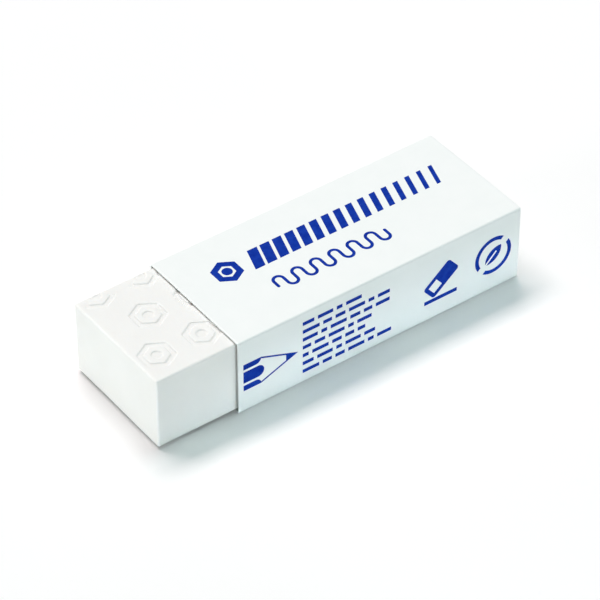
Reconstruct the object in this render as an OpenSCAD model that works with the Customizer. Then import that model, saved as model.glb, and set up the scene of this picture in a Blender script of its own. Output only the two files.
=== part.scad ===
// A block eraser in a folded card sleeve. All sizes are in millimetres.
// X runs along the eraser, with the bare rubber at -X. The printed long side faces -Y. Z is up.
// The origin lies on the resting plane, at the middle of the whole length and of the sleeve's width.

/* [Block] */
// Length of the rubber block
block_l = 65; // [56:0.5:80]
// Width of the rubber block
block_w = 22.5; // [20:0.5:30]
// Height of the rubber block
block_h = 13.5; // [11:0.5:18]
// Rounding along the block's edges
block_edge_r = 0.35; // [0.2:0.05:1.5]
// How far the block stands out of the sleeve's mouth
block_out = 14.6; // [6:0.1:24]

/* [Pressed pattern] */
// Width of each pressed hexagon, from corner to corner
press_d = 6.2; // [4:0.2:7.6]
// Width of the groove around each hexagon
press_groove = 0.8; // [0.4:0.1:1.2]
// Width of the round dimple inside each hexagon
press_core_d = 1.8; // [1:0.1:2.2]
// Depth of the pressed pattern
press_depth = 0.25; // [0.1:0.05:0.6]
// Distance between the hexagons of a row
press_pitch_x = 8.3; // [8:0.1:12]
// Distance between the rows
press_pitch_y = 8.4; // [8:0.1:12]
// Centre of the first hexagon, from the block's bare end
press_first_x = 3.7; // [3.7:0.1:8]
// Centre of the first row, from the block's side under the side print
press_first_y = 5.2; // [3.8:0.1:8]

/* [Card sleeve] */
// Length of the sleeve
sleeve_l = 55.6; // [52:0.1:62]
// Thickness of the card
card_t = 0.25; // [0.2:0.05:0.6]
// Radius on the inside of each fold
fold_r = 0.1; // [0.05:0.05:0.4]
// Gap between the block and the card above, below and behind it
slide_gap = 0.22; // [0.05:0.01:0.4]
// Gap between the block and the front panel: wider, as the block sits towards the back
front_gap = 0.4; // [0.05:0.05:0.6]
// Width of the glue flap inside the back panel
flap_w = 9; // [5:0.5:10.5]
// Distance of the back panel's free edge below the sleeve's top
seam_inset = 0.4; // [0.2:0.1:1.5]

/* [Print] */
// Thickness of the ink
ink_t = 0.05; // [0.03:0.01:0.1]

/* [Print on the top panel] */
// Width of the hexagon sign, from corner to corner
emblem_d = 5.4; // [4:0.2:6.4]
// Centre of the hexagon sign, from the sleeve's mouth
emblem_x = 8.6; // [4:0.1:9]
// Start of the band of bars, from the sleeve's mouth
band_x = 12.5; // [12.2:0.2:16]
// Distance of the band's end from the sleeve's far end
band_margin = 4.6; // [2:0.2:8]
// Height of the bars
band_h = 4.5; // [3:0.1:5.5]
// Distance from the panel's middle up to the band's middle
band_up = 3; // [2.9:0.1:4]
// Distance between the bars
bar_pitch = 2.4; // [2.2:0.1:4]
// Width of the first bar
bar_first_w = 1.9; // [1:0.1:2]
// Width of the last bar
bar_last_w = 0.8; // [0.3:0.1:0.9]
// Lean of the bars, in degrees
bar_lean = 18; // [0:1:30]
// Length of the waved line
wave_l = 23.4; // [12:0.2:34]
// Width of the waved line's stroke
wave_stroke = 0.55; // [0.3:0.05:0.9]
// Radius of the waved line's turns
wave_r = 0.9; // [0.7:0.05:1.4]
// Length of the straight runs between the turns
wave_run = 1.2; // [0.6:0.1:2]
// Distance from the panel's middle down to the waved line's middle
wave_down = 4; // [3.6:0.1:6]

/* [Print on the side panel] */
// Start of the pencil sign, from the sleeve's mouth
pencil_x = 1; // [0.6:0.1:1.4]
// Distance from the panel's middle down to the pencil's middle
pencil_down = 0.3; // [0:0.1:0.8]
// Length of the pencil sign
pencil_l = 10.4; // [9:0.1:10.6]
// Height of the pencil sign
pencil_h = 5.4; // [4.4:0.1:6.4]
// Length of the pencil's lacquered part, up to the wood
lacquer_l = 2.3; // [1.4:0.1:3]
// Width of the cone's outline
cone_stroke = 0.3; // [0.2:0.05:0.5]
// Length of the filled tip
lead_l = 2.3; // [1.2:0.1:3]
// Start of the ruled note, from the sleeve's mouth
note_x = 12.3; // [12.3:0.1:13.2]
// Middle length of the note's lines
note_l = 14.8; // [10:0.2:14.8]
// How much longer or shorter than that the lines get
note_rag = 2.8; // [0:0.1:2.8]
// Distance between the note's lines
note_pitch = 1.64; // [1.2:0.02:2.2]
// Thickness of the note's lines
note_stroke = 0.7; // [0.3:0.05:0.9]
// Bare strip above and below the note
note_margin = 1.2; // [0.8:0.1:2.5]
// Centre of the eraser sign, from the sleeve's far end
rubber_sign_back = 16; // [15.4:0.1:16.6]
// Length of the block in the eraser sign
rubber_sign_l = 6.6; // [5:0.1:6.8]
// Centre of the leaf sign, from the sleeve's far end
leaf_sign_back = 5.4; // [4.4:0.1:6.5]
// Width of the ring in the leaf sign
leaf_sign_d = 7.4; // [5:0.1:7.6]
// Width of the strokes in both signs
sign_stroke = 0.75; // [0.4:0.05:0.8]

/* [Hidden] */
$fn = 48;

rubber_white = [0.96, 0.96, 0.95];
card_white = [0.95, 0.98, 0.97];
ink_blue = [0.07, 0.21, 0.64];

past = 1; // how far a cutting shape runs past what it cuts

// The card is in one layer around the block, and in two behind it, where the flap is glued.
sleeve_w = block_w + front_gap + slide_gap + 3 * card_t;
sleeve_h = block_h + 2 * slide_gap + 2 * card_t;
block_y = card_t + front_gap - sleeve_w / 2;
block_z = card_t + slide_gap;

whole_l = max(block_out + sleeve_l, block_l);
block_x = -whole_l / 2;
mouth_x = block_x + block_out;

// A rectangle with rounded corners, centred on the origin.
module rounded_rect(l, w, r) {
    square([l - 2 * r, w], center = true);
    square([l, w - 2 * r], center = true);
    for (x = [-1, 1], y = [-1, 1])
        translate([x * (l / 2 - r), y * (w / 2 - r)]) circle(r);
}

// The end of a six-sided pencil: the barrel as a hexagon with its corners up and down, and the lead.
module pencil_end(d, rim, core_d) {
    difference() {
        rotate(30) circle(d = d, $fn = 6);
        rotate(30) circle(d = d - 2 * rim / cos(30), $fn = 6);
    }
    circle(d = core_d);
}

// ---- The block ----

// Rounded along all twelve edges, with its lowest corner at the origin.
module rounded_block(l, w, h, r) {
    translate([l / 2, w / 2, h / 2]) intersection() {
        linear_extrude(h + 2 * past, center = true) rounded_rect(l, w, r);
        rotate([90, 0, 0]) linear_extrude(w + 2 * past, center = true) rounded_rect(l, h, r);
        rotate([90, 0, 90]) linear_extrude(l + 2 * past, center = true) rounded_rect(w, h, r);
    }
}

// Staggered rows of hexagons. Each row keeps to whole ones along the block. Rows are counted by
// their centres, so the last one may run off over the side, as on a block cut from a wider slab.
module pressed_pattern() {
    last_row = floor((block_w - press_first_y) / press_pitch_y);
    for (row = [0 : last_row]) {
        row_x = press_first_x + (row % 2) * press_pitch_x / 2;
        for (x = [row_x : press_pitch_x : block_l - press_d / 2])
            translate([x, press_first_y + row * press_pitch_y])
                pencil_end(press_d, press_groove, press_core_d);
    }
}

module eraser_block() {
    color(rubber_white) translate([block_x, block_y, block_z]) difference() {
        rounded_block(block_l, block_w, block_h, block_edge_r);
        translate([0, 0, block_h - press_depth]) linear_extrude(press_depth + past) pressed_pattern();
    }
}

// ---- The sleeve ----

// A fold of a quarter turn around the origin, in the quadrant where x and y are positive.
module fold() {
    intersection() {
        difference() {
            circle(fold_r + card_t);
            circle(fold_r);
        }
        square(fold_r + card_t);
    }
}

// The card's section across the sleeve, from the flap round to the back panel's free edge.
module sleeve_section() {
    bend = fold_r + card_t;
    half_w = sleeve_w / 2;
    flap_y = half_w - card_t; // where the flap meets the back panel
    // The glue flap, inside the back panel, and its fold into the top
    translate([flap_y - card_t, sleeve_h - bend - flap_w]) square([card_t, flap_w]);
    translate([flap_y - bend, sleeve_h - bend]) fold();
    // The top panel and its fold into the front
    translate([bend - half_w, sleeve_h - card_t]) square([flap_y + half_w - 2 * bend, card_t]);
    translate([bend - half_w, sleeve_h - bend]) rotate(90) fold();
    // The front panel and its fold into the bottom
    translate([-half_w, bend]) square([card_t, sleeve_h - 2 * bend]);
    translate([bend - half_w, bend]) rotate(180) fold();
    // The bottom panel and its fold into the back
    translate([bend - half_w, 0]) square([sleeve_w - 2 * bend, card_t]);
    translate([half_w - bend, bend]) rotate(-90) fold();
    // The back panel, glued over the flap
    translate([flap_y, bend]) square([card_t, sleeve_h - bend - seam_inset]);
}

module card_sleeve() {
    color(card_white) translate([mouth_x, 0, 0])
        rotate([90, 0, 90]) linear_extrude(sleeve_l) sleeve_section();
}

// ---- The print on the top panel, drawn flat: x from the mouth, y from the panel's middle ----

// Leaning bars that thin out towards the far end.
module fading_bars() {
    lean = band_h * tan(bar_lean);
    last_bar = floor((sleeve_l - band_x - band_margin - lean - bar_last_w) / bar_pitch);
    for (i = [0 : last_bar]) {
        w = bar_first_w + (bar_last_w - bar_first_w) * i / last_bar;
        translate([band_x + i * bar_pitch, 0])
            polygon([[0, 0], [w, 0], [w + lean, band_h], [lean, band_h]]);
    }
}

module half_ring(r, stroke) {
    difference() {
        circle(r + stroke / 2);
        circle(r - stroke / 2);
        translate([-r - stroke, -r - stroke]) square([2 * (r + stroke), r + stroke]);
    }
}

// A line drawn up and down with round turns and round ends.
module waved_line() {
    last_run = floor(wave_l / (2 * wave_r));
    for (i = [0 : last_run])
        translate([2 * wave_r * i, 0]) square([wave_stroke, wave_run], center = true);
    for (i = [0 : last_run - 1])
        translate([wave_r * (2 * i + 1), (i % 2 == 0 ? 1 : -1) * wave_run / 2])
            rotate(i % 2 == 0 ? 0 : 180) half_ring(wave_r, wave_stroke);
    translate([0, -wave_run / 2]) circle(d = wave_stroke);
    translate([2 * wave_r * last_run, (last_run % 2 == 0 ? 1 : -1) * wave_run / 2])
        circle(d = wave_stroke);
}

module top_print() {
    color(ink_blue) translate([mouth_x, 0, sleeve_h]) linear_extrude(ink_t) {
        translate([emblem_x, band_up]) pencil_end(emblem_d, emblem_d / 5, emblem_d / 3);
        translate([0, band_up - band_h / 2]) fading_bars();
        translate([band_x + wave_stroke, -wave_down]) waved_line();
    }
}

// ---- The print on the side panel, drawn flat: x from the mouth, y from the panel's middle ----

// A short pencil: three lacquered faces, the bare cone in outline and the lead filled in.
module pencil_sign() {
    face_gap = 0.09 * pencil_h;
    edge_face = 0.2 * pencil_h;
    middle_face = pencil_h - 2 * (edge_face + face_gap);
    cone_x = lacquer_l + edge_face;
    cone_l = pencil_l - cone_x;
    rise = pencil_h / 2 / cone_l; // slope of the cone's sides
    inset = cone_stroke * sqrt(1 + rise * rise);
    // The middle face, with a round end
    translate([0, -middle_face / 2]) square([lacquer_l + face_gap, middle_face]);
    translate([lacquer_l + face_gap, 0]) circle(d = middle_face);
    // The outer faces, each with its end curving out to the cone
    for (side = [0, 1]) mirror([0, side]) {
        translate([0, pencil_h / 2 - edge_face]) square([lacquer_l, edge_face]);
        intersection() {
            translate([lacquer_l, pencil_h / 2 - edge_face]) square(edge_face);
            translate([lacquer_l, pencil_h / 2]) circle(edge_face);
        }
    }
    difference() {
        polygon([[cone_x, -pencil_h / 2], [pencil_l, 0], [cone_x, pencil_h / 2]]);
        polygon([
            [cone_x - past, -rise * (cone_l + past) + inset],
            [pencil_l - lead_l, -rise * lead_l + inset],
            [pencil_l - lead_l, rise * lead_l - inset],
            [cone_x - past, rise * (cone_l + past) - inset],
        ]);
    }
}

// How long a word of the note is: the words vary from short to long by a fixed rule.
function word_l(line, word) = 2.2 + 1.1 * sin(137 * word + 71 * line);

// A block of small type, shown as plain dashes of a word's length with a ragged right edge.
module ruled_note() {
    lines = floor((sleeve_h - 2 * note_margin) / note_pitch);
    word_gap = note_stroke;
    shortest = 2 * note_stroke;
    for (line = [0 : lines - 1]) {
        line_l = note_l + note_rag * sin(80 * line - 30);
        words = [for (word = 0, x = 0; x < line_l - shortest;
                x = x + word_l(line, word) + word_gap, word = word + 1)
            [x, min(word_l(line, word), line_l - x)]];
        for (w = words)
            translate([w[0], ((lines - 1) / 2 - line) * note_pitch - note_stroke / 2])
                square([w[1], note_stroke]);
    }
}

// An eraser tilted on the line that it rubs out: its bare half in outline, its sleeve filled in.
module rubber_sign() {
    thick = 0.5 * rubber_sign_l;
    tilt = 40;
    foot = (rubber_sign_l * sin(tilt) + thick * cos(tilt)) / 2;
    corner = 0.75 * sign_stroke;
    translate([0, sign_stroke / 2]) rotate(tilt) difference() {
        rounded_rect(rubber_sign_l, thick, corner);
        translate([sign_stroke - rubber_sign_l / 2, sign_stroke - thick / 2])
            square([0.42 * rubber_sign_l - sign_stroke, thick - 2 * sign_stroke]);
    }
    translate([-rubber_sign_l / 2, -foot - sign_stroke / 2])
        square([rubber_sign_l, sign_stroke]);
}

// A leaf with its vein, in a ring that is open where the stalk's line crosses it.
module leaf_sign() {
    leaf_l = 0.6 * leaf_sign_d;
    leaf_w = 0.5 * leaf_l;
    side_r = (leaf_l * leaf_l + leaf_w * leaf_w) / (4 * leaf_w); // of the leaf's two curved sides
    rotate(45) {
        difference() {
            circle(d = leaf_sign_d);
            circle(d = leaf_sign_d - 2 * sign_stroke);
            square([leaf_sign_d + past, 2 * sign_stroke], center = true);
        }
        difference() {
            intersection_for(side = [-1, 1])
                translate([0, side * (side_r - leaf_w / 2)]) circle(side_r);
            translate([-leaf_l, -sign_stroke / 4]) square([1.2 * leaf_l, sign_stroke / 2]);
        }
    }
}

module side_print() {
    color(ink_blue) translate([mouth_x, -sleeve_w / 2, sleeve_h / 2])
        rotate([90, 0, 0]) linear_extrude(ink_t) {
            translate([pencil_x, -pencil_down]) pencil_sign();
            translate([note_x, 0]) ruled_note();
            translate([sleeve_l - rubber_sign_back, 0]) rubber_sign();
            translate([sleeve_l - leaf_sign_back, 0]) leaf_sign();
        }
}

eraser_block();
card_sleeve();
top_print();
side_print();
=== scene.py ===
"""A block eraser in a folded card sleeve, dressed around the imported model.

Shapes are worked out in millimetres in the model's own frame, and turned to metres when a mesh is
made. The camera and the lamps are placed in metres. Colours are linear.
"""

import math
import random

import bmesh
import bpy
import numpy as np
from mathutils import Matrix, Vector, noise
from mathutils.geometry import delaunay_2d_cdt


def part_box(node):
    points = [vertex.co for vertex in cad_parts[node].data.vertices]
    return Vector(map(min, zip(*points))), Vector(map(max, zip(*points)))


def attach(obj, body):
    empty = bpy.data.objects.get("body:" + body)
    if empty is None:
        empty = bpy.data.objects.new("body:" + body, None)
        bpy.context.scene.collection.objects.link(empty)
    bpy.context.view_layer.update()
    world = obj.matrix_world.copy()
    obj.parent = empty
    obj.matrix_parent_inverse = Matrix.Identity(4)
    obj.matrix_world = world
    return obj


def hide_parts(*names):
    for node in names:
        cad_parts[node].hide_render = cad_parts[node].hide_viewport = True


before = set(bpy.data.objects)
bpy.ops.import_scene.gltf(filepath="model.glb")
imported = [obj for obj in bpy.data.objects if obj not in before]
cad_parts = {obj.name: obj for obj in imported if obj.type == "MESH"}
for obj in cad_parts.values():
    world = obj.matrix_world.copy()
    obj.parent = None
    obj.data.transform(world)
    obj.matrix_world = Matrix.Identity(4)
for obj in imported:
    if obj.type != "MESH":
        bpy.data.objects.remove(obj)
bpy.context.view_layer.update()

MM = 0.001

# ---- Sizes, in millimetres ----

BLOCK_LOW, BLOCK_HIGH = (np.array(corner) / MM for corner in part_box("eraser_block"))
SLEEVE_LOW, SLEEVE_HIGH = (np.array(corner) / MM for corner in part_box("card_sleeve"))
BLOCK_L, BLOCK_W, BLOCK_H = BLOCK_HIGH - BLOCK_LOW

# One layer of card lies under the block and two behind it, with the same gap in both places.
CARD_T = (SLEEVE_HIGH[1] - BLOCK_HIGH[1]) - (BLOCK_LOW[2] - SLEEVE_LOW[2])

# The part's source has these as well. The frame holds only the solids made from them.
FOLD_R = 0.1  # on the inside of a fold
FLAP_W = 9.0
SEAM_INSET = 0.4  # from the sleeve's top down to the back panel's free edge
EDGE_R = 0.35  # rounding of the block's edges
PRESS_D = 6.2  # the pressed hexagons, corner to corner
PRESS_GROOVE = 0.8
PRESS_CORE_D = 1.8
PRESS_PITCH = (8.3, 8.4)  # along a row, and from row to row
PRESS_FIRST = (3.7, 5.2)  # the first one's centre, from the bare end and the printed side

# The finer shape of the surfaces.
PRESS_DEPTH = 0.2  # a little shallower than the solid's square grooves
PRESS_SOFT = 0.1  # how gently the pressed walls roll over
LEVEL_HIGHLIGHT = 0.1  # how much of the painted highlight the level edges get, beside the upright ones
CUT_ROUND = 0.06  # how far the card's cut edges are rounded back
CUT_FRAY = 0.012  # how uneven they are
PANEL_BOW = 0.09  # how far a panel's middle stands out past its folds
PANEL_WAVE = 0.03  # how far a panel wavers in or out
INK_T = 0.012  # thinner than the solids, as real ink is


# ---- Mesh helpers ----


def make_piece(name, points, faces, materials, face_material=None):
    """A mesh object from points in millimetres, shaded smooth, with its faces turned outwards."""
    mesh = bpy.data.meshes.new(name)
    mesh.from_pydata([tuple(p * MM) for p in np.asarray(points, float)], [], faces)
    for material in materials:
        mesh.materials.append(material)
    if face_material is not None:
        mesh.polygons.foreach_set("material_index", face_material)
    bm = bmesh.new()
    bm.from_mesh(mesh)
    bmesh.ops.recalc_face_normals(bm, faces=bm.faces)
    for face in bm.faces:
        face.smooth = True
    bm.to_mesh(mesh)
    bm.free()
    piece = bpy.data.objects.new(name, mesh)
    bpy.context.scene.collection.objects.link(piece)
    return piece


def mark_points(piece, name, shares):
    """Keeps a share from 0 to 1 at each point of the mesh, for its material to read."""
    marks = piece.data.attributes.new(name, "FLOAT", "POINT")
    marks.data.foreach_set("value", np.asarray(shares, np.float32))


def fill_box(points, low, high):
    """Stretches the points along each axis so that they just fill the box."""
    points = np.asarray(points, float)
    least, most = points.min(0), points.max(0)
    return low + (points - least) * (high - low) / (most - least)


def wander(points, size, reach, shift=0.0):
    """Moves each point by a smooth random field with features about size wide.

    reach is how far it goes, and shift picks another part of the field.
    """
    # One place in the noise for each axis, so that the three don't move together.
    apart = [Vector((0, 0, 0)), Vector((17.3, 0, 0)), Vector((0, 41.7, 0))]
    moved = []
    for point in points:
        place = Vector(point) / size + Vector((shift,) * 3)
        moved.append([noise.noise(place + away) for away in apart])
    return np.asarray(points) + reach * np.array(moved)


# ---- The block ----


def rim(spacing):
    """The block's outline from above, without its rounding.

    Gives where each point starts, and which way it goes out.
    """
    corner_steps = 6
    starts, ways = [], []
    corners = [(BLOCK_L, 0, -90), (BLOCK_L, BLOCK_W, 0), (0, BLOCK_W, 90), (0, 0, 180)]
    inner = np.array([EDGE_R, EDGE_R]), np.array([BLOCK_L - EDGE_R, BLOCK_W - EDGE_R])
    for i, (x, y, turn) in enumerate(corners):
        corner = np.clip((x, y), *inner)
        after = np.clip(corners[(i + 1) % 4][:2], *inner)
        for k in range(corner_steps + 1):
            angle = math.radians(turn + 90 * k / corner_steps)
            starts.append(corner)
            ways.append((math.cos(angle), math.sin(angle)))
        side_steps = round(np.abs(after - corner).max() / spacing)
        for k in range(1, side_steps):
            starts.append(corner + (after - corner) * k / side_steps)
            ways.append(ways[-1])
    return np.array(starts), np.array(ways)


def press_centres():
    """Centres of the pressed hexagons, in staggered rows of whole ones."""
    centres = []
    for row in range(int((BLOCK_W - PRESS_FIRST[1]) / PRESS_PITCH[1]) + 1):
        x = PRESS_FIRST[0] + (row % 2) * PRESS_PITCH[0] / 2
        while x <= BLOCK_L - PRESS_D / 2:
            centres.append(np.array((x, PRESS_FIRST[1] + row * PRESS_PITCH[1])))
            x += PRESS_PITCH[0]
    return centres


HEX_OUT = PRESS_D / 2 * math.cos(math.radians(30))  # from the centre to the groove's outer wall
HEX_IN = HEX_OUT - PRESS_GROOVE
OUT_CORNER_R, IN_CORNER_R = 0.5, 0.42  # rounding of the corners of both walls
# Where the mesh follows a pressed wall, as distances outside it.
WALL_STEPS = (-0.28, -0.19, -0.12, -0.06, 0.0, 0.06, 0.12, 0.19, 0.27, 0.36)


def sunk(outside):
    """The share of the full depth at a distance outside a pressed wall."""
    return 0.5 * (1 - math.tanh(outside / PRESS_SOFT))


def hexagon(centre, apothem, corner_r):
    """A closed outline with six rounded corners, two of them up and down."""
    steps = 4
    reach = (apothem - corner_r) / math.cos(math.radians(30))
    outline = []
    for k in range(6):
        out = math.radians(90 + 60 * k)
        for j in range(steps + 1):
            turn = out + math.radians(60 * j / steps - 30)
            outline.append(
                (
                    centre[0] + reach * math.cos(out) + corner_r * math.cos(turn),
                    centre[1] + reach * math.sin(out) + corner_r * math.sin(turn),
                )
            )
    return outline


def circle(centre, r):
    """A closed round outline."""
    steps = 20
    turns = [2 * math.pi * k / steps for k in range(steps)]
    return [(centre[0] + r * math.cos(t), centre[1] + r * math.sin(t)) for t in turns]


def pressed_outlines(centre):
    """Each outline of one pressed hexagon, with the share of the depth along it."""
    for step in WALL_STEPS:
        yield hexagon(centre, HEX_OUT + step, OUT_CORNER_R + step), sunk(step)
        yield hexagon(centre, HEX_IN - step, IN_CORNER_R - step), sunk(step)
        yield circle(centre, PRESS_CORE_D / 2 + step), sunk(step)


def share_at(x, y, centres):
    """The share of the depth anywhere, from the nearest hexagon with its corners left sharp."""
    near = min(centres, key=lambda c: (c[0] - x) ** 2 + (c[1] - y) ** 2)
    dx, dy = x - near[0], y - near[1]
    walls = [abs(dx * math.cos(a) + dy * math.sin(a)) for a in map(math.radians, (0, 60, 120))]
    ring = min(sunk(max(walls) - HEX_OUT), sunk(HEX_IN - max(walls)))
    return max(ring, sunk(math.hypot(dx, dy) - PRESS_CORE_D / 2))


FACE_TURN = math.radians(72)  # how much of the edge's quarter turn belongs to a broad face


def past_flat(x, y):
    """How far a point lies past the flat part of a broad face."""
    return math.hypot(
        max(EDGE_R - x, x - (BLOCK_L - EDGE_R), 0), max(EDGE_R - y, y - (BLOCK_W - EDGE_R), 0)
    )


def runs_within(outline, reach):
    """The runs of a closed outline within reach of the flat, and whether each is closed."""
    kept = [past_flat(*p) < reach for p in outline]
    if all(kept):
        return [(outline, True)]
    if not any(kept):
        return []
    first = next(k for k in range(len(kept)) if kept[k] and not kept[k - 1])
    runs, run = [], []
    for k in range(first, first + len(kept)):
        at = k % len(kept)
        if kept[at]:
            run.append(outline[at])
        elif run:
            runs.append((run, False))
            run = []
    if run:
        runs.append((run, False))
    return runs


def loose_points(centres):
    """Points scattered over the flat between the hexagons, so that no triangle gets large."""
    draw = random.Random(7)
    spacing, jitter = 0.9, 0.25
    rim_clear = EDGE_R + 0.3
    press_clear = HEX_OUT + 0.75
    points = []
    for i in range(1, int(BLOCK_L / spacing)):
        for j in range(1, int(BLOCK_W / spacing)):
            x = (i + draw.uniform(-jitter, jitter)) * spacing
            y = (j + draw.uniform(-jitter, jitter)) * spacing
            if min(x, y, BLOCK_L - x, BLOCK_W - y) < rim_clear:
                continue
            if all((x - c[0]) ** 2 + (y - c[1]) ** 2 > press_clear**2 for c in centres):
                points.append((x, y))
    return points


def broad_face(starts, ways, centres):
    """The block's top or bottom, as points with their depth below it, and triangles.

    It reaches most of the way round the rounding. Also gives which points form the ring that the
    block's sides start from.
    """
    points, edges, shares = [], [], []

    def add_line(line, share, closed=True):
        first = len(points)
        points.extend(line)
        shares.extend([share] * len(line))
        pairs = [(first + k, first + (k + 1) % len(line)) for k in range(len(line))]
        edges.extend(pairs if closed else pairs[:-1])

    round_steps = 6
    for k in range(round_steps, 0, -1):
        turn = FACE_TURN * k / round_steps
        add_line([tuple(p) for p in starts + ways * EDGE_R * math.sin(turn)], 0.0)
    flat = [(EDGE_R, EDGE_R), (BLOCK_L - EDGE_R, EDGE_R)]
    flat += [(BLOCK_L - EDGE_R, BLOCK_W - EDGE_R), (EDGE_R, BLOCK_W - EDGE_R)]
    add_line(flat, 0.0)
    ring_clear = 0.03  # a hexagon that runs off over the side stops this far inside the ring
    reach = EDGE_R * math.sin(FACE_TURN) - ring_clear
    for centre in centres:
        for outline, share in pressed_outlines(centre):
            for run, closed in runs_within(outline, reach):
                add_line(run, share, closed)
    scattered = loose_points(centres)
    points += scattered
    shares += [0.0] * len(scattered)

    ring = list(range(len(starts)))
    inside_only, merge_within = 1, 1e-6
    made, _, triangles, sources, _, _ = delaunay_2d_cdt(
        [Vector(p) for p in points], edges, [ring], inside_only, merge_within
    )
    solid = []
    for (x, y), source in zip(made, sources):
        if source:
            share = shares[source[0]]
        else:  # a point that the triangulation adds, where two outlines cross
            share = share_at(x, y, centres) if centres else 0.0
        out = min(past_flat(x, y), EDGE_R)
        drop = EDGE_R - math.sqrt(EDGE_R**2 - out**2)
        solid.append((x, y, max(drop, share * PRESS_DEPTH)))
    found = {source: k for k, from_input in enumerate(sources) for source in from_input}
    return np.array(solid), [list(t) for t in triangles], [found[k] for k in ring]


def edge_share(points):
    """How much painted highlight each point gets: 0 on the faces, 1 on the upright edges and less
    on the others.
    """
    inward = EDGE_R - np.minimum(points, np.array((BLOCK_L, BLOCK_W, BLOCK_H)) - points)
    x, y, z = (np.clip(inward, 0, None) / (EDGE_R * math.cos(math.radians(45)))).T
    return np.clip(x * y + LEVEL_HIGHLIGHT * z * np.maximum(x, y), 0, 1)


def rubber_block(materials):
    """The block: a pressed top and a plain bottom, joined by rings down its sides."""
    starts, ways = rim(spacing=0.5)
    count = len(starts)
    top, top_faces, top_ring = broad_face(starts, ways, press_centres())
    foot, foot_faces, foot_ring = broad_face(starts, ways, [])
    points = [(x, y, BLOCK_H - drop) for x, y, drop in top]
    faces = list(top_faces)
    rings = [top_ring]

    def add_ring(out, z):
        first = len(points)
        points.extend((x, y, z) for x, y in starts + ways * out)
        rings.append(list(range(first, first + count)))

    # The rest of the rounding belongs to the sides.
    turns = [FACE_TURN + (math.pi / 2 - FACE_TURN) * k / 2 for k in (1, 2)]
    for turn in turns:
        add_ring(EDGE_R * math.sin(turn), BLOCK_H - EDGE_R + EDGE_R * math.cos(turn))
    row_h = 0.6
    rows = round((BLOCK_H - 2 * EDGE_R) / row_h)
    for k in range(1, rows):
        add_ring(EDGE_R, BLOCK_H - EDGE_R - (BLOCK_H - 2 * EDGE_R) * k / rows)
    for turn in reversed(turns):
        add_ring(EDGE_R * math.sin(turn), EDGE_R - EDGE_R * math.cos(turn))
    first = len(points)
    points.extend((x, y, drop) for x, y, drop in foot)
    faces += [[first + k for k in reversed(face)] for face in foot_faces]
    rings.append([first + k for k in foot_ring])
    for upper, lower in zip(rings, rings[1:]):
        for k in range(count):
            after = (k + 1) % count
            faces.append([upper[k], lower[k], lower[after], upper[after]])
    # A painted highlight: the edges are marked to be painted paler, most on the upright ones.
    painted_highlight = edge_share(np.array(points))
    # Soft rubber isn't quite flat: it has broad waves, with finer ones on them.
    points = wander(points, size=9.0, reach=0.03)
    points = wander(points, size=2.1, reach=0.008, shift=31.0)
    points = fill_box(points, BLOCK_LOW, BLOCK_HIGH)
    block = make_piece("rubber_block", points, faces, materials)
    mark_points(block, "painted_highlight", painted_highlight)
    return block


# ---- The sleeve ----

WAVE_SIZE = np.array((17, 13, 11))  # how wide the panels' waves are, in x, y and z
MOUTH_HOLD, MOUTH_REACH = 0.35, 6.0  # how much less a panel bows at the mouths, and how far in
# Where the mesh follows the cut edge, from 1 on the card's outside to -1 on its inside.
CUT_STEPS = (0.92, 0.75, 0.45, 0, -0.45, -0.75, -0.92)
FRAY_FINENESS = np.array((1.7, 1.7, 3))  # around the sleeve, along it and through the card
OUTSIDE, INSIDE, CUT = 0, 1, 2  # the card's materials, in the order that card_tube takes them


def warp(points):
    """How the folded card departs from a true box: a panel's folds lie a little inside its middle.

    The bottom panel lies flat on the table.
    """
    points = np.asarray(points, float)
    centre = (SLEEVE_LOW + SLEEVE_HIGH) / 2
    half = (SLEEVE_HIGH - SLEEVE_LOW) / 2
    _, across, up = ((points - centre) / half).T
    lift = np.clip(up, 0, None)
    inner_up, inner_across = np.clip(up, -1, 1), np.clip(across, -1, 1)
    from_mouth = np.minimum(points[:, 0] - SLEEVE_LOW[0], SLEEVE_HIGH[0] - points[:, 0])
    held = 1 - MOUTH_HOLD * np.exp(-np.clip(from_mouth, 0, None) / MOUTH_REACH)
    out = points.copy()
    out[:, 1] -= across * 0.5 * PANEL_BOW * inner_up**2 * held
    out[:, 2] -= lift * PANEL_BOW * inner_across**2 * held
    waves = np.array([noise.noise(Vector(p / WAVE_SIZE)) for p in points])
    out[:, 1] -= across * PANEL_WAVE * (0.5 + waves) * (1 - inner_up**4)
    out[:, 2] -= lift * PANEL_WAVE * (0.5 + waves) * (1 - inner_across**4)
    return out


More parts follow.
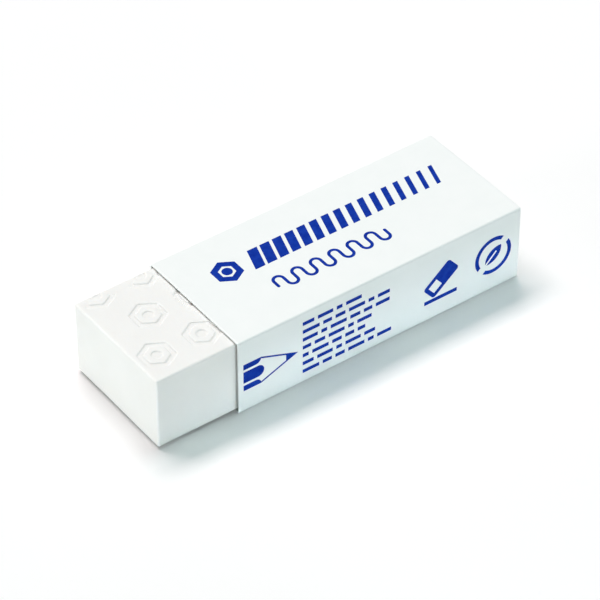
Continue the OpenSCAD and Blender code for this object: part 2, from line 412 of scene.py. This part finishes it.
class CardPath:
    """The middle of the card's thickness, followed from the flap round to the back panel's edge."""

    def __init__(self):
        bend = FOLD_R + CARD_T
        half_w = (SLEEVE_HIGH[1] - SLEEVE_LOW[1]) / 2
        height = SLEEVE_HIGH[2] - SLEEVE_LOW[2]
        self.turn_r = FOLD_R + CARD_T / 2
        self.turn_l = self.turn_r * math.pi / 2
        # Each run starts at a point and keeps a heading, and a fold follows it.
        flap_y = half_w - CARD_T
        self.runs = [
            ((flap_y - CARD_T / 2, height - bend - FLAP_W), 90, FLAP_W),
            ((flap_y - bend, height - CARD_T / 2), 180, flap_y + half_w - 2 * bend),
            ((-half_w + CARD_T / 2, height - bend), 270, height - 2 * bend),
            ((-half_w + bend, CARD_T / 2), 0, 2 * (half_w - bend)),
            ((half_w - CARD_T / 2, bend), 90, height - bend - SEAM_INSET),
        ]
        self.starts = [0.0]
        for _, _, run_l in self.runs[:-1]:
            self.starts.append(self.starts[-1] + run_l + self.turn_l)
        self.length = self.starts[-1] + self.runs[-1][2]

    def at(self, s):
        """The place across and up, and the way out of the sleeve, at a length along the card."""
        k = max(i for i, start in enumerate(self.starts) if s >= start or i == 0)
        (y, z), heading, run_l = self.runs[k]
        along = s - self.starts[k]
        way = math.radians(heading)
        ahead = np.array((math.cos(way), math.sin(way)))
        out = np.array((math.sin(way), -math.cos(way)))
        if along <= run_l or k == len(self.runs) - 1:
            return np.array((y, z)) + ahead * along, out
        turn = (along - run_l) / self.turn_r
        centre = np.array((y, z)) + ahead * run_l - out * self.turn_r
        out = math.cos(turn) * out + math.sin(turn) * ahead
        return centre + out * self.turn_r, out

    def stops(self):
        """Lengths along the card for the mesh: close together in the folds, wider on the panels."""
        panel_step, fold_steps = 0.9, 8
        beside_fold = (0.15, 0.4)
        stops = []
        for start, (_, _, run_l) in zip(self.starts, self.runs):
            steps = round(run_l / panel_step)
            stops += [start + run_l * k / steps for k in range(steps + 1)]
            stops += [start + near for near in beside_fold]
            stops += [start + run_l - near for near in beside_fold]
            stops += [start + run_l + self.turn_l * k / fold_steps for k in range(1, fold_steps)]
        first, last = CUT_ROUND, self.length - CUT_ROUND
        clear = 0.01
        return [first] + sorted(s for s in stops if first + clear < s < last - clear) + [last]


def card_tube(materials):
    """The sleeve: the coated outside, the bare inside and the rounded, slightly frayed cut edge."""
    path = CardPath()
    across = path.stops()
    length = SLEEVE_HIGH[0] - SLEEVE_LOW[0]
    steps, beside_cut = 64, 0.3
    along = [length * k / steps for k in range(1, steps)]
    along = [CUT_ROUND, beside_cut] + along + [length - beside_cut, length - CUT_ROUND]
    points, faces, kinds = [], [], []

    def add_point(s, x, share):
        """share runs from 1 on the outside of the card to -1 on its inside."""
        (y, z), out = path.at(s)
        y, z = (y, z) + out * share * CARD_T / 2
        points.append((SLEEVE_LOW[0] + x, y, SLEEVE_LOW[2] + z))
        return len(points) - 1

    def add_skin(share, kind):
        grid = [[add_point(s, x, share) for x in along] for s in across]
        for i in range(len(across) - 1):
            for j in range(len(along) - 1):
                faces.append([grid[i][j], grid[i + 1][j], grid[i + 1][j + 1], grid[i][j + 1]])
                kinds.append(kind)
        return grid

    outside, inside = add_skin(1, OUTSIDE), add_skin(-1, INSIDE)
    last_i, last_j = len(across) - 1, len(along) - 1
    border = [(i, 0) for i in range(last_i)] + [(last_i, j) for j in range(last_j)]
    border += [(i, last_j) for i in range(last_i, 0, -1)] + [(0, j) for j in range(last_j, 0, -1)]
    loops = [[outside[i][j] for i, j in border]]
    for share in CUT_STEPS:
        swell = CUT_ROUND * (1 - abs(share) ** 4)
        loop = []
        for i, j in border:
            s, x = across[i], along[j]
            fray = CUT_FRAY * noise.noise(Vector(FRAY_FINENESS * (s, x, share)))
            s += (swell + fray) * ((i == last_i) - (i == 0))
            x += (swell + fray) * ((j == last_j) - (j == 0))
            loop.append(add_point(s, x, share))
        loops.append(loop)
    loops.append([inside[i][j] for i, j in border])
    for outer, inner in zip(loops, loops[1:]):
        for k in range(len(border)):
            after = (k + 1) % len(border)
            faces.append([outer[k], inner[k], inner[after], outer[after]])
            kinds.append(CUT)
    points = fill_box(warp(points), SLEEVE_LOW, SLEEVE_HIGH)
    return make_piece("card_tube", points, faces, materials, kinds)


def ink_film(name, node, out_axis, out_sign, material):
    """The print as a thin film that follows the bowed card, from the outline of its CAD node."""
    longest_edge = 2.5  # longer ones are divided, so that the film can follow the bow
    bm = bmesh.new()
    bm.from_mesh(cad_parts[node].data)
    bmesh.ops.scale(bm, vec=(1 / MM,) * 3, verts=bm.verts)
    bmesh.ops.remove_doubles(bm, verts=bm.verts, dist=1e-4)
    long_edges = [e for e in bm.edges if e.calc_length() > longest_edge]
    bmesh.ops.subdivide_edges(bm, edges=long_edges, cuts=2)
    bmesh.ops.triangulate(bm, faces=bm.faces)
    points = np.array([v.co for v in bm.verts])
    faces = [[v.index for v in f.verts] for f in bm.faces]
    bm.free()
    face_of_card = (SLEEVE_HIGH if out_sign > 0 else SLEEVE_LOW)[out_axis]
    stands = np.abs(points[:, out_axis] - face_of_card) > 1e-3
    points[:, out_axis] = face_of_card
    points = warp(points)
    points[:, out_axis] += out_sign * np.where(stands, INK_T, -INK_T)
    piece = make_piece(name, points, faces, [material])
    for polygon in piece.data.polygons:
        polygon.use_smooth = False
    return piece


# ---- Materials ----


def new_material(name):
    """A material with its nodes, its links and its main shader."""
    material = bpy.data.materials.new(name)
    material.use_nodes = True
    nodes, links = material.node_tree.nodes, material.node_tree.links
    return material, nodes, links, nodes["Principled BSDF"]


def add_noise(nodes, links, scale, detail=2.0, stretch=(1, 1, 1)):
    """A noise texture in the object's own frame, in metres, and its value as an output."""
    place = nodes.new("ShaderNodeTexCoord")
    spread = nodes.new("ShaderNodeMapping")
    spread.inputs["Scale"].default_value = stretch
    pattern = nodes.new("ShaderNodeTexNoise")
    pattern.inputs["Scale"].default_value = scale
    pattern.inputs["Detail"].default_value = detail
    links.new(place.outputs["Object"], spread.inputs["Vector"])
    links.new(spread.outputs["Vector"], pattern.inputs["Vector"])
    return pattern.outputs["Fac"]


def add_range(nodes, links, value, low, high):
    """Turns the middle of a noise's values into the range from low to high."""
    spread = nodes.new("ShaderNodeMapRange")
    spread.inputs["From Min"].default_value = 0.3
    spread.inputs["From Max"].default_value = 0.7
    spread.inputs["To Min"].default_value = low
    spread.inputs["To Max"].default_value = high
    links.new(value, spread.inputs["Value"])
    return spread.outputs["Result"]


def add_mix(nodes, links, share, first, second):
    """A colour between two, each given as a linear colour or an output."""
    mix = nodes.new("ShaderNodeMix")
    mix.data_type = "RGBA"
    links.new(share, mix.inputs["Factor"])
    for socket, colour in (("A", first), ("B", second)):
        socket = next(s for s in mix.inputs if s.name == socket and s.type == "RGBA")
        if isinstance(colour, tuple):
            socket.default_value = (*colour, 1)
        else:
            links.new(colour, socket)
    return next(s for s in mix.outputs if s.type == "RGBA")


def add_bump(nodes, links, bsdf, heights, distance):
    """Bumps from several height outputs, each with its strength, one on top of the other."""
    last = None
    for height, strength in heights:
        bump = nodes.new("ShaderNodeBump")
        bump.inputs["Strength"].default_value = strength
        bump.inputs["Distance"].default_value = distance
        links.new(height, bump.inputs["Height"])
        if last:
            links.new(last, bump.inputs["Normal"])
        last = bump.outputs["Normal"]
    links.new(last, bsdf.inputs["Normal"])


def rubber_material():
    """White vinyl rubber: slightly waxy, with a fine grain and faint clouds, and edges painted
    paler as a painted highlight.
    """
    material, nodes, links, bsdf = new_material("white_rubber")
    clouds = add_noise(nodes, links, 160, 3)
    grain = add_noise(nodes, links, 2600, 2)
    share = add_range(nodes, links, clouds, 0, 1)
    colour = add_mix(nodes, links, share, (0.885, 0.885, 0.865), (0.91, 0.91, 0.89))
    # Painted highlight: the marked edges are painted near white.
    painted_highlight = nodes.new("ShaderNodeAttribute")
    painted_highlight.attribute_name = "painted_highlight"
    colour = add_mix(nodes, links, painted_highlight.outputs["Fac"], colour, (0.975, 0.975, 0.965))
    links.new(colour, bsdf.inputs["Base Color"])
    links.new(add_range(nodes, links, grain, 0.44, 0.58), bsdf.inputs["Roughness"])
    bsdf.inputs["Subsurface Weight"].default_value = 0.2
    bsdf.inputs["Subsurface Radius"].default_value = (1.0, 0.9, 0.8)
    bsdf.inputs["Subsurface Scale"].default_value = 0.0008
    bsdf.inputs["Specular IOR Level"].default_value = 0.4
    add_bump(nodes, links, bsdf, [(clouds, 0.12), (grain, 0.2)], 0.0001)
    return material


def card_material(name, light, dark, roughness, fibre):
    """White board: faint clouds in its colour, and fibres in its gloss and its surface."""
    material, nodes, links, bsdf = new_material(name)
    mottle = add_noise(nodes, links, 300, 3)
    fibres = add_noise(nodes, links, 1800, 3, stretch=(0.35, 1, 1))
    share = add_range(nodes, links, mottle, 0, 1)
    links.new(add_mix(nodes, links, share, dark, light), bsdf.inputs["Base Color"])
    rough = add_range(nodes, links, fibres, roughness - 0.06, roughness + 0.06)
    links.new(rough, bsdf.inputs["Roughness"])
    bsdf.inputs["Specular IOR Level"].default_value = 0.4
    add_bump(nodes, links, bsdf, [(mottle, fibre / 2), (fibres, fibre)], 0.00006)
    return material


def ink_material():
    """Blue offset ink that dried flat, a little uneven in its cover."""
    material, nodes, links, bsdf = new_material("blue_ink")
    cover = add_noise(nodes, links, 900, 3)
    share = add_range(nodes, links, cover, 0, 1)
    colour = add_mix(nodes, links, share, (0.003, 0.028, 0.32), (0.009, 0.048, 0.41))
    links.new(colour, bsdf.inputs["Base Color"])
    links.new(add_range(nodes, links, cover, 0.34, 0.46), bsdf.inputs["Roughness"])
    bsdf.inputs["Specular IOR Level"].default_value = 0.02
    add_bump(nodes, links, bsdf, [(cover, 0.1)], 0.00004)
    return material


# ---- The pieces ----

RUBBER = rubber_material()
COATED = card_material("coated_card", (0.925, 0.955, 0.945), (0.905, 0.94, 0.93), 0.4, 0.12)
UNCOATED = card_material("uncoated_card", (0.55, 0.55, 0.53), (0.48, 0.48, 0.46), 0.75, 0.4)
CUT_CARD = card_material("cut_card", (0.94, 0.955, 0.95), (0.88, 0.9, 0.89), 0.8, 0.4)
INK = ink_material()

block = rubber_block([RUBBER])
sleeve = card_tube([COATED, UNCOATED, CUT_CARD])
top_ink = ink_film("top_ink", "top_print", 2, 1, INK)
side_ink = ink_film("side_ink", "side_print", 1, -1, INK)

for piece, body, node, slot in (
    (block, "block", "eraser_block", "rubber"),
    (sleeve, "sleeve", "card_sleeve", "card"),
    (top_ink, "sleeve", "top_print", "ink"),
    (side_ink, "sleeve", "side_print", "ink"),
):
    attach(piece, body)
    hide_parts(node)


# ---- Camera, floor and light ----


def look_from(azimuth, elevation, roll=0.0):
    """The way out to a place at these angles, and the rotation of what looks back from it."""
    a, e = math.radians(azimuth), math.radians(elevation)
    back = Vector((math.sin(a) * math.cos(e), -math.cos(a) * math.cos(e), math.sin(e)))
    level = (-back).to_track_quat("-Z", "Y").to_matrix()
    return back, level @ Matrix.Rotation(math.radians(roll), 3, "Z")


def add_camera():
    """The camera, where a fit to the photo's corners puts it."""
    azimuth, elevation, roll, distance = -36.37, 40.91, 0.08, 0.5113
    aim = Vector((-0.00076, -0.00107, 0.00569))
    data = bpy.data.cameras.new("camera")
    data.lens = 193.5
    data.sensor_width = 36
    data.clip_start, data.clip_end = 0.01, 10
    camera = bpy.data.objects.new("camera", data)
    bpy.context.scene.collection.objects.link(camera)
    back, turn = look_from(azimuth, elevation, roll)
    camera.matrix_world = Matrix.Translation(aim + back * distance) @ turn.to_4x4()
    bpy.context.scene.camera = camera


def add_softbox(
    name, azimuth, elevation, distance, size, power, colour, spread=180, aim=(0, 0, 0)
):
    """A soft lamp that looks at aim. A grid on it narrows its spread, which is in degrees."""
    data = bpy.data.lights.new(name, "AREA")
    data.shape = "RECTANGLE"
    data.size, data.size_y = size
    data.energy = power
    data.color = colour
    data.spread = math.radians(spread)
    lamp = bpy.data.objects.new(name, data)
    bpy.context.scene.collection.objects.link(lamp)
    back, turn = look_from(azimuth, elevation)
    lamp.matrix_world = Matrix.Translation(Vector(aim) + back * distance) @ turn.to_4x4()


def seen_directly(nodes, links):
    """1 for rays from the camera, from reflections and through glass, and 0 for all others."""
    path = nodes.new("ShaderNodeLightPath")
    seen = path.outputs["Is Camera Ray"]
    for kind in ("Is Glossy Ray", "Is Transmission Ray"):
        either = nodes.new("ShaderNodeMath")
        either.operation = "MAXIMUM"
        links.new(seen, either.inputs[0])
        links.new(path.outputs[kind], either.inputs[1])
        seen = either.outputs["Value"]
    return seen


def add_floor():
    """A pale floor. It shows a little lighter than it is lit, and so ends in white."""
    size, lift = 3.0, 0.045
    gap = 0.02 * MM  # below the part, so that no two faces share a plane
    mesh = bpy.data.meshes.new("floor")
    corners = [(-size, -size), (size, -size), (size, size), (-size, size)]
    mesh.from_pydata([(x, y, -gap) for x, y in corners], [], [(0, 1, 2, 3)])
    floor = bpy.data.objects.new("floor", mesh)
    bpy.context.scene.collection.objects.link(floor)
    material, nodes, links, bsdf = new_material("pale_floor")
    bsdf.inputs["Base Color"].default_value = (0.97, 0.97, 0.97, 1)
    bsdf.inputs["Roughness"].default_value = 0.9
    bsdf.inputs["Specular IOR Level"].default_value = 0
    bsdf.inputs["Emission Color"].default_value = (lift, lift, lift, 1)
    links.new(seen_directly(nodes, links), bsdf.inputs["Emission Strength"])
    mesh.materials.append(material)


def set_world(colour, strength):
    """Even light from all round, and plain white where the camera or a reflection meets it."""
    world = bpy.data.worlds.new("studio")
    bpy.context.scene.world = world
    world.use_nodes = True
    nodes, links = world.node_tree.nodes, world.node_tree.links
    light = nodes["Background"]
    light.inputs["Color"].default_value = (*colour, 1)
    light.inputs["Strength"].default_value = strength
    white = nodes.new("ShaderNodeBackground")
    white.inputs["Color"].default_value = (1, 1, 1, 1)
    mix = nodes.new("ShaderNodeMixShader")
    links.new(seen_directly(nodes, links), mix.inputs["Fac"])
    links.new(light.outputs["Background"], mix.inputs[1])
    links.new(white.outputs["Background"], mix.inputs[2])
    links.new(mix.outputs["Shader"], nodes["World Output"].inputs["Surface"])


add_camera()
add_floor()
set_world(colour=(0.83, 1.0, 0.98), strength=0.118)
# Large, from high behind: it lights the tops, and the shade falls forwards.
add_softbox(
    "key_light", azimuth=180, elevation=66, distance=3.0,
    size=(2.2, 0.8), power=69.4, colour=(1.0, 0.9, 0.904),
)
# Smaller and cooler, from almost overhead.
add_softbox(
    "top_light", azimuth=95, elevation=76, distance=1.6,
    size=(0.55, 0.55), power=6.3, colour=(0.78, 1.0, 0.99),
)
# Low ones for the block's bare end and for the printed side.
add_softbox(
    "end_light", azimuth=-100, elevation=5, distance=0.6,
    size=(0.2, 0.06), power=1.31, colour=(0.92, 0.98, 0.96),
)
add_softbox(
    "front_light", azimuth=0, elevation=3.5, distance=0.6,
    size=(0.5, 0.05), power=0.79, colour=(0.75, 0.96, 0.98),
)
# A thin strip in a tight grid, aimed just below the floor: it lights the printed panel's foot most.
add_softbox(
    "strip_light", azimuth=0, elevation=3.5, distance=0.6,
    size=(0.371, 0.006), power=0.0096, colour=(0.9, 0.95, 1.0),
    spread=4, aim=(0.1545, 0, -0.0057),
)
bpy.context.scene.view_settings.view_transform = "Standard"
